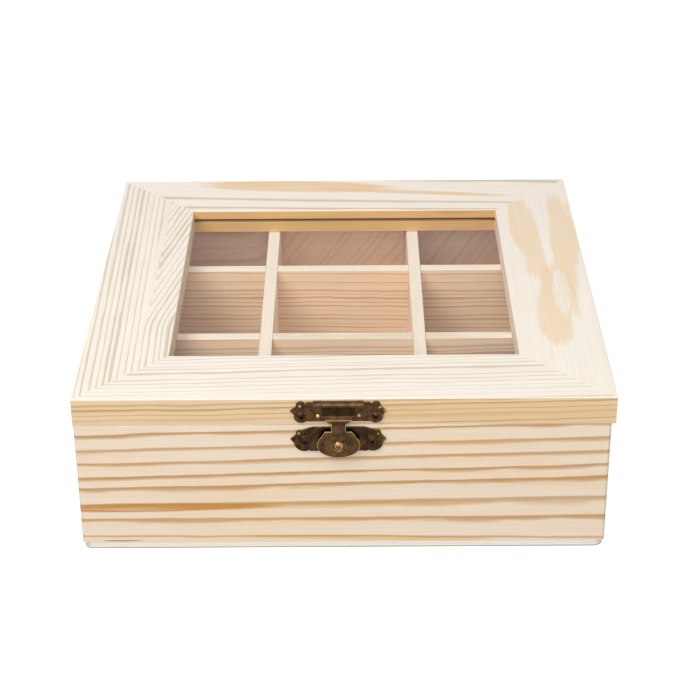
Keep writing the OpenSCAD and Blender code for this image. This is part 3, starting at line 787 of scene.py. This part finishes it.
def finished_copy(name, node, width, share_of=None, grain=None):
    """A copy of a CAD node with rounded arrises, as a plain mesh with its own marks.
    share_of gives an edge's share of the width. Without it each one gets all of it."""
    shell = merged_copy(node)
    shell.edges.ensure_lookup_table()
    weight = shell.edges.layers.float.new("bevel_weight_edge")
    for edge in shell.edges:
        if edge.is_manifold and edge.calc_face_angle() > ARRIS_ANGLE:
            share = share_of(edge) if share_of else 1.0
            edge[weight] = share if edge.is_convex else 0.0
    mesh = bpy.data.meshes.new(name)
    shell.to_mesh(mesh)
    shell.free()
    piece = new_object(name, mesh)
    for slot in ("flat", "rounded"):
        mesh.materials.append(bpy.data.materials.get(slot) or bpy.data.materials.new(slot))
    rounding = piece.modifiers.new("rounding", "BEVEL")
    rounding.width = width
    rounding.segments = 2
    rounding.limit_method = "WEIGHT"
    rounding.material = 1
    rounding.use_clamp_overlap = True
    rounding.loop_slide = True
    mesh.polygons.foreach_set("use_smooth", [True] * len(mesh.polygons))
    mesh = bake(piece)
    even_normals(mesh)
    mark_faces(mesh, node, grain)
    return piece


def even_normals(mesh):
    """Shades each vertex by the faces that meet there gently, and mostly by the largest of
    them, so that flat faces look flat beside their rounded arrises."""
    shell = bmesh.new()
    shell.from_mesh(mesh)
    corners = [corner for face in shell.faces for corner in face.loops]
    normals = [corner.face.normal.copy() for corner in corners]
    for number, corner in enumerate(corners):
        corner.index = number
    for vert in shell.verts:
        left = {corner.face: corner for corner in vert.link_loops}
        while left:
            face, corner = left.popitem()
            fan = [corner]
            waiting = [face]
            while waiting:
                here = waiting.pop()
                for there in list(left):
                    joined = any(vert in edge.verts and there in edge.link_faces
                                 for edge in here.edges)
                    if joined and here.normal.dot(there.normal) > GENTLE:
                        fan.append(left.pop(there))
                        waiting.append(there)
            shared = sum((c.face.normal * c.face.calc_area() for c in fan), Vector()).normalized()
            for corner in fan:
                if corner.face.normal.dot(shared) > GENTLE:
                    normals[corner.index] = shared
    shell.free()
    mesh.normals_split_custom_set(normals)


def mark_faces(mesh, node, grain):
    """Writes the marks that the materials read, one number for each face: arris where it is
    rounded, a top mark where it looks up near the top, for painted light from above, end_grain
    across the grain, an inward mark where it looks into the box or is sunk, for painted light and
    shade, and underside."""
    low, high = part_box(node)
    count = len(mesh.polygons)
    rounded = np.zeros(count, np.int32)
    mesh.polygons.foreach_get("material_index", rounded)
    normals = np.zeros(count * 3, np.float32)
    mesh.polygons.foreach_get("normal", normals)
    normals = normals.reshape(-1, 3)
    centres = np.array([face.center for face in mesh.polygons])
    level = (centres[:, 2] > high.z - SKIN) if grain else np.ones(count)
    # The top mark carries painted light: the woods paint faces paler where it is set
    top_light = np.clip(normals[:, 2], 0, 1) * level
    marks = {"arris": rounded.astype(np.float32), "top_light": top_light}
    if node in METAL_PLACES:
        marks.update(metal_marks(node, centres / MM, normals[:, 2], marks["arris"]))
    if grain:
        marks["end_grain"] = np.abs(normals[:, 0 if grain == "x" else 1])
        inwards = -centres[:, :2] / np.linalg.norm(centres[:, :2], axis=1)[:, None]
        facing = (inwards * normals[:, :2]).sum(axis=1) > FACING
        underside = (centres[:, 2] < low.z + SKIN) & (normals[:, 2] < -FACING)
        # Sunk faces in grooves and rebates take the inward colour as painted shade
        sunk = (np.abs(normals[:, 2]) > FACING) & (top_light == 0) & ~underside
        # Rounded lower arrises keep the side colour instead of the inward one: a painted highlight
        # along them
        lower_arris = (rounded == 1) & (normals[:, 2] < -DOWNWARD)
        marks["inner"] = (facing | sunk) & ~lower_arris
        marks["underside"] = normals[:, 2] < -FACING
    for label, values in marks.items():
        mesh.attributes.new(label, "FLOAT", "FACE").data.foreach_set(
            "value", values.astype(np.float32))
    mesh.polygons.foreach_set("material_index", np.zeros(count, np.int32))
    mesh.materials.clear()


def metal_marks(name, centres, lift, arris):
    """Marks on the clasp: painted highlights on its upward faces, barrel, beads and stud rim,
    painted shade under its barrel, on its bend, across the lid plate and in the stud's dimple,
    and how much its arrises are rubbed.
    """
    x, y, z = centres.T
    # Painted highlight on faces that look up
    painted_glint = 0.15 * (lift > 0.8)
    recess = np.zeros(len(z))
    from_screw = np.min([np.hypot(x - px, z - pz) for px, pz in METAL_PLACES[name]], axis=0)
    if name in ("clasp_hasp", "clasp_lid_plate"):
        # A painted highlight band along the barrel
        barrel = (z > BARREL_FOOT) & (y < BARREL_FRONT)
        painted_glint[barrel] = (0.14 * np.clip(1 - np.abs(lift - 0.2) / 0.3, 0, 1))[barrel]
    if name == "clasp_stud":
        # Painted shade in the stud's dimple
        recess[from_screw < STUD_DIMPLE] = 0.4
        # Painted highlight round the stud's rim
        painted_glint[from_screw > STUD_RIM] = 0.2
    elif name == "clasp_box_plate":
        arris = arris * np.where(from_screw < SEAT_REACH, 0.15, np.where(lift > 0.3, 0.1, 0.6))
    elif name == "clasp_lid_plate":
        arris = arris * np.where(from_screw < SEAT_REACH, 0.15, 0.4)
        # Painted shade across the middle of the lid plate, behind the hasp
        recess[np.abs(x - CLASP_MIDDLE) < PLATE_REACH] = 0.15
        # Painted highlights on the pressed beads
        for px, pz, share in LID_BEADS:
            painted_glint[(np.hypot(x - px, z - pz) < BEAD_RADIUS) & (y < BEAD_FRONT)] = share
    else:
        arris = arris * np.where(z > NECK_TOP, 0.1, np.where(z > SHIELD_TOP, 0.5, 1.0))
        # Painted shade on the hasp's bend and on its strap below the barrel
        recess[(np.abs(lift - 0.65) < 0.2) & (z < BEND_TOP)] = 0.35
        recess[(np.abs(lift) < 0.5) & (z > STRAP_FOOT) & (z < STRAP_TOP)] = 0.7
    return {"arris": arris, "painted_glint": painted_glint, "recess": recess}


def coat(mesh, material):
    mesh.materials.clear()
    mesh.materials.append(material)


def finish_piece(piece, material, body, node):
    coat(piece.data, material)
    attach(piece, body)
    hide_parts(node)


def make_boards():
    for board in BOARDS:
        piece = finished_copy(board.node + "_wood", board.node, board.arris * MM,
                              partial(wood_arris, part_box(board.node)), board.grain)
        finish_piece(piece, pine(board), board.body, board.node)
    base = finished_copy("base_board_ply", "base_board", BASE_ARRIS,
                         partial(wood_arris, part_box("base_board")), "x")
    finish_piece(base, base_ply(), "box", "base_board")


def leaf_arris(edge):
    """The arrises of a hinge leaf's plate. Its curled knuckles stay sharp."""
    pin_low, pin_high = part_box("hinge_pin_left")
    level = (pin_low.z + pin_high.z) / 2
    return float(all(abs(vert.co.z - level) > KNUCKLE_REACH for vert in edge.verts))


def make_metalwork():
    plates = [("clasp_lid_plate", "lid", BRONZE, "bronze", 0.2, None),
              ("clasp_box_plate", "box", SHADED_BRONZE, "bronze", 0.2, None),
              ("clasp_hasp", "hasp", BRONZE, "bronze", 0.28, None),
              ("clasp_stud", "box", BRASS, "brass", 0.12, None)]
    plates += [(f"hinge_{body}_leaf_{side}", body, BRONZE, "bronze", 0.15, leaf_arris)
               for body in ("box", "lid") for side in ("left", "right")]
    for node, body, metal, slot, width, share_of in plates:
        piece = finished_copy(node + "_metal", node, width * MM, share_of)
        finish_piece(piece, metal, body, node)
    for node in ("clasp_hasp_pin", "hinge_pin_left", "hinge_pin_right"):
        coat(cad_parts[node].data, SCREW_BRONZE)
    coat(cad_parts["mitre_nails"].data, STEEL)


# ------------------------ screws and brads

def new_fastener_tree(name, sizes):
    """A Geometry Nodes tree that puts a fastener on every seat. Facing turns its head from
    up to where it looks, and Spin is how much further each one is turned than the last."""
    tree = bpy.data.node_groups.new(name, "GeometryNodeTree")
    tree.interface.new_socket("Seats", in_out="INPUT", socket_type="NodeSocketGeometry")
    for label in (*sizes, "Spin"):
        tree.interface.new_socket(label, in_out="INPUT", socket_type="NodeSocketFloat")
    tree.interface.new_socket("Facing", in_out="INPUT", socket_type="NodeSocketVector")
    tree.interface.new_socket("Metal", in_out="INPUT", socket_type="NodeSocketMaterial")
    tree.interface.new_socket("Fasteners", in_out="OUTPUT", socket_type="NodeSocketGeometry")
    return tree, tree.nodes.new("NodeGroupInput").outputs, tree.nodes.new("NodeGroupOutput").inputs


def vector(x=0.0, y=0.0, z=0.0):
    values = {"X": x, "Y": y, "Z": z}
    return add(tree_of(x, y, z), "ShaderNodeCombineXYZ", values).outputs[0]


def moved(shape, place, turn=(0.0, 0.0, 0.0)):
    return add(shape.id_data, "GeometryNodeTransform",
               {"Geometry": shape, "Translation": place, "Rotation": turn}).outputs[0]


def shank(tree, radius, length, point):
    """A round shank that hangs from z = 0 and ends in a point."""
    shaft = minus(length, point)
    rod = add(tree, "GeometryNodeMeshCylinder",
              {"Vertices": SHANK_SIDES, "Radius": radius, "Depth": shaft}).outputs["Mesh"]
    tip = add(tree, "GeometryNodeMeshCone",
              {"Vertices": SHANK_SIDES, "Radius Top": TIP_RADIUS, "Radius Bottom": radius,
               "Depth": point}).outputs["Mesh"]
    return [moved(rod, vector(z=times(shaft, -0.5))),
            moved(tip, vector(z=times(shaft, -1.0)), (math.pi, 0.0, 0.0))]


def set_on_seats(tree, given, result, parts):
    """Joins a fastener's parts and puts one on each seat as real mesh."""
    whole = add(tree, "GeometryNodeJoinGeometry")
    for part in parts:
        tree.links.new(part, whole.inputs[0])
    facing = add(tree, "FunctionNodeEulerToRotation", {"Euler": given["Facing"]})
    number = add(tree, "GeometryNodeInputIndex").outputs[0]
    spin = add(tree, "FunctionNodeEulerToRotation",
               {"Euler": vector(z=times(number, given["Spin"]))})
    seated = add(tree, "GeometryNodeInstanceOnPoints",
                 {"Points": given["Seats"], "Instance": whole.outputs[0],
                  "Rotation": facing.outputs[0]})
    turned = add(tree, "GeometryNodeRotateInstances",
                 {"Instances": seated.outputs[0], "Rotation": spin.outputs[0]})
    real = add(tree, "GeometryNodeRealizeInstances", {"Geometry": turned.outputs[0]})
    smooth = add(tree, "GeometryNodeSetShadeSmooth", {"Geometry": real.outputs[0]})
    angle = add(tree, "GeometryNodeInputMeshEdgeAngle").outputs["Unsigned Angle"]
    creased = add(tree, "GeometryNodeSetShadeSmooth",
                  {"Geometry": smooth.outputs[0], "Shade Smooth": False,
                   "Selection": calc("GREATER_THAN", angle, ARRIS_ANGLE)}, domain="EDGE")
    finished = add(tree, "GeometryNodeSetMaterial",
                   {"Geometry": creased.outputs[0], "Material": given["Metal"]})
    feed(result["Fasteners"], finished.outputs[0])


def make_screw_tree():
    """Wood screws with a domed head, a crossed recess and a thread."""
    tree, given, result = new_fastener_tree("cross_head_screws", SCREW_SIZES)
    radius, dome = given["Head Radius"], given["Head Height"]
    squares = plus(times(radius, radius), times(dome, dome))
    ball_radius = divided(squares, times(dome, 2.0))
    ball = add(tree, "GeometryNodeMeshUVSphere",
               {"Segments": HEAD_STEPS, "Rings": HEAD_STEPS, "Radius": ball_radius}).outputs["Mesh"]
    ball_middle = vector(z=minus(dome, ball_radius))
    ball = moved(ball, ball_middle)
    side = times(ball_radius, 4.0)
    below = add(tree, "GeometryNodeMeshCube", {"Size": vector(side, side, side)})
    below = moved(below.outputs["Mesh"], vector(z=times(side, -0.5)))
    head = add(tree, "GeometryNodeMeshBoolean", {"Mesh 1": ball}, operation="DIFFERENCE",
               solver="EXACT")
    tree.links.new(below, head.inputs["Mesh 2"])
    bar = add(tree, "GeometryNodeMeshCube",
              {"Size": vector(given["Recess Length"], given["Recess Width"],
                              times(given["Recess Depth"], 2.0))})
    for turn in (0.0, math.pi / 2):
        tree.links.new(moved(bar.outputs["Mesh"], vector(z=dome), (0.0, 0.0, turn)),
                       head.inputs["Mesh 2"])
    head = add(tree, "GeometryNodeMergeByDistance",
               {"Geometry": head.outputs["Mesh"], "Distance": SAME_SPOT})
    # The faces of the crossed recess are marked for painted shade
    place = add(tree, "GeometryNodeInputPosition").outputs[0]
    inside = calc("LESS_THAN", vector_calc("DISTANCE", place, ball_middle),
                  minus(ball_radius, RECESS_INSET))
    above = calc("GREATER_THAN", split(place)["Z"], RECESS_FOOT)
    recess = times(inside, above)
    marked = add(tree, "GeometryNodeStoreNamedAttribute",
                 {"Geometry": head.outputs[0], "Name": "recess", "Value": recess},
                 data_type="FLOAT", domain="FACE")

    core = times(given["Shank Radius"], CORE_SHARE)
    shaft = minus(given["Length"], given["Point"])
    coil = add(tree, "GeometryNodeCurveSpiral",
               {"Resolution": COIL_STEPS, "Rotations": divided(shaft, given["Thread Pitch"]),
                "Start Radius": core, "End Radius": core, "Height": shaft})
    ridge = add(tree, "GeometryNodeCurvePrimitiveCircle",
                {"Resolution": RIDGE_SIDES, "Radius": minus(given["Shank Radius"], core)})
    thread = add(tree, "GeometryNodeCurveToMesh",
                 {"Curve": coil.outputs[0], "Profile Curve": ridge.outputs[0],
                  "Fill Caps": True}).outputs[0]
    thread = moved(thread, vector(z=times(shaft, -1.0)))
    set_on_seats(tree, given, result,
                 [marked.outputs[0], thread, *shank(tree, core, given["Length"], given["Point"])])
    return tree


def make_brad_tree():
    """Round wire brads with flat heads."""
    tree, given, result = new_fastener_tree("flat_head_brads", BRAD_SIZES)
    high = given["Head Height"]
    head = add(tree, "GeometryNodeMeshCylinder",
               {"Vertices": BRAD_HEAD_SIDES, "Radius": given["Head Radius"],
                "Depth": high}).outputs["Mesh"]
    head = moved(head, vector(z=times(high, 0.5)))
    set_on_seats(tree, given, result,
                 [head, *shank(tree, given["Shank Radius"], given["Length"], given["Point"])])
    return tree


def seats(node, outwards, head_height):
    """Where the fasteners of a CAD node sit: under the middle of each one's head."""
    shell = merged_copy(node)
    left = set(shell.verts)
    places = []
    while left:
        island = [left.pop()]
        for vert in island:
            for edge in vert.link_edges:
                other = edge.other_vert(vert)
                if other in left:
                    left.remove(other)
                    island.append(other)
        spots = np.array([vert.co for vert in island])
        low, high = spots.min(axis=0), spots.max(axis=0)
        reach = (high - low) / 2 * np.abs(outwards)
        seat = (low + high) / 2 + (reach.sum() - head_height) * np.array(outwards)
        places.append(tuple(seat))
    shell.free()
    return sorted(places)


def set_fasteners(node, tree, sizes, outwards, body, metal):
    """Replaces a CAD node's plain fasteners with finished ones on the same seats."""
    start = bpy.data.meshes.new(node + "_set")
    start.from_pydata(seats(node, outwards, sizes["Head Height"]), [], [])
    piece = new_object(start.name, start)
    maker = piece.modifiers.new("fasteners", "NODES")
    maker.node_group = tree
    facing = Vector(outwards).to_track_quat("Z", "Y").to_euler()
    values = {**sizes, "Spin": FASTENER_SPIN, "Facing": tuple(facing), "Metal": metal}
    for socket in tree.interface.items_tree:
        if socket.in_out == "INPUT" and socket.name in values:
            maker[socket.identifier] = values[socket.name]
    bake(piece)
    finish_piece(piece, metal, body, node)


def make_fasteners():
    screws = make_screw_tree()
    forwards, backwards, down = (0, -1, 0), (0, 1, 0), (0, 0, -1)
    for node, body, outwards in (("clasp_screws_lid", "lid", forwards),
                                 ("clasp_screws_box", "box", forwards),
                                 ("hinge_screws_lid", "lid", backwards),
                                 ("hinge_screws_box", "box", backwards)):
        set_fasteners(node, screws, SCREW_SIZES, outwards, body, SCREW_BRONZE)
    set_fasteners("base_brads", make_brad_tree(), BRAD_SIZES, down, "box", STEEL)


def make_window():
    pane = finished_copy("window_glass", "window_pane", PANE_ARRIS)
    finish_piece(pane, GLASS, "lid", "window_pane")
    pane.visible_shadow = False
    pane.visible_diffuse = False


# ------------------------ camera and light

def make_camera():
    camera = new_object("camera", bpy.data.cameras.new("camera"))
    camera.data.sensor_width = SENSOR_WIDTH
    camera.data.lens = CAMERA_LENS
    camera.matrix_world = (Matrix.Translation(CAMERA_PLACE)
                           @ Matrix.Rotation(math.radians(CAMERA_TURN), 4, "Z")
                           @ Matrix.Rotation(math.radians(90 - CAMERA_DOWN), 4, "X")
                           @ Matrix.Rotation(math.radians(CAMERA_ROLL), 4, "Z"))
    bpy.context.scene.camera = camera


def make_lamps():
    for name, place, size, power in LAMPS:
        lamp = new_object(name, bpy.data.lights.new(name, "AREA"))
        lamp.data.shape = "DISK"
        lamp.data.size = size
        lamp.data.energy = power
        lamp.location = place
        lamp.rotation_euler = (-Vector(place)).to_track_quat("-Z", "Y").to_euler()


def seen_directly(tree):
    """1 for camera, mirror and glass rays, which see the plain white surroundings."""
    path = add(tree, "ShaderNodeLightPath").outputs
    seen = calc("MAXIMUM", path["Is Camera Ray"], path["Is Glossy Ray"])
    return calc("MAXIMUM", seen, path["Is Transmission Ray"])


def make_surroundings():
    world = bpy.data.worlds.new("studio")
    bpy.context.scene.world = world
    world.use_nodes = True
    tree = world.node_tree
    background = tree.nodes["Background"]
    background.inputs["Color"].default_value = WHITE
    feed(background.inputs["Strength"], ramp(seen_directly(tree), 0.0, 1.0, SKY_LIGHT, 1.0))

    mesh = bpy.data.meshes.new("floor")
    shape = bmesh.new()
    bmesh.ops.create_circle(shape, cap_ends=True, segments=FLOOR_SIDES, radius=FLOOR_RADIUS)
    shape.to_mesh(mesh)
    shape.free()
    mesh.transform(Matrix.Translation((0.0, 0.0, -FLOOR_GAP)))
    floor = new_object("floor", mesh)
    material, tree, shader = new_material("studio_floor")
    shader["Base Color"].default_value = FLOOR_GREY
    shader["Roughness"].default_value = 0.9
    shader["Specular IOR Level"].default_value = 0.0
    shader["Emission Color"].default_value = WHITE
    feed(shader["Emission Strength"], times(seen_directly(tree), FLOOR_GLOW))
    mesh.materials.append(material)


make_camera()
make_boards()
make_metalwork()
make_fasteners()
make_window()
make_surroundings()
make_lamps()

bpy.context.scene.view_settings.view_transform = "Standard"
